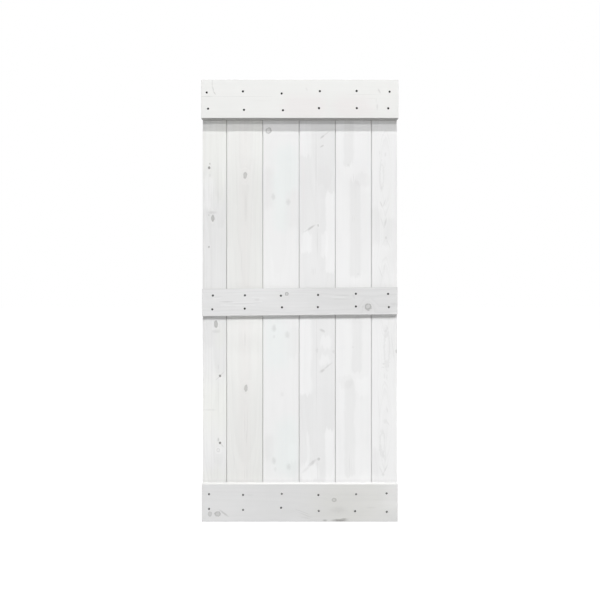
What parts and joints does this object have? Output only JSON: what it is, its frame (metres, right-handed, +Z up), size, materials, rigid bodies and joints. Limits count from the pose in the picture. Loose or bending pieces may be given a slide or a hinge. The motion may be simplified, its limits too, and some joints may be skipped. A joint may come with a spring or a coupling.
{
  "type": "barn door",
  "caption": "Upright ledged door slab of whitewashed tongue-and-groove planks, held by a wide top rail, a narrower middle rail and a wide bottom rail, screwed on from the front.",
  "frame": {"origin": "on the ground under the middle of the door's width and depth", "axes": "+Z up the door, +X to the right as seen from the front, -Y out of the front, where the rails are"},
  "size_m": [0.9524, 0.044, 2.134],
  "materials": {
    "plank_wash": "matt white wash over planed pine",
    "top_rail_wash": "matt white wash over planed pine",
    "middle_rail_wash": "matt pale grey wash over planed pine",
    "bottom_rail_wash": "matt pale grey wash over planed pine",
    "black_screw": "black coated steel"
  },
  "bodies": {
    "root": {"plank_1": "plank_wash", "plank_2": "plank_wash", "plank_3": "plank_wash", "plank_4": "plank_wash", "plank_5": "plank_wash", "plank_6": "plank_wash", "top_rail": "top_rail_wash", "middle_rail": "middle_rail_wash", "bottom_rail": "bottom_rail_wash", "top_rail_screws": "black_screw", "middle_rail_screws": "black_screw", "bottom_rail_screws": "black_screw"}
  },
  "joints": []
}
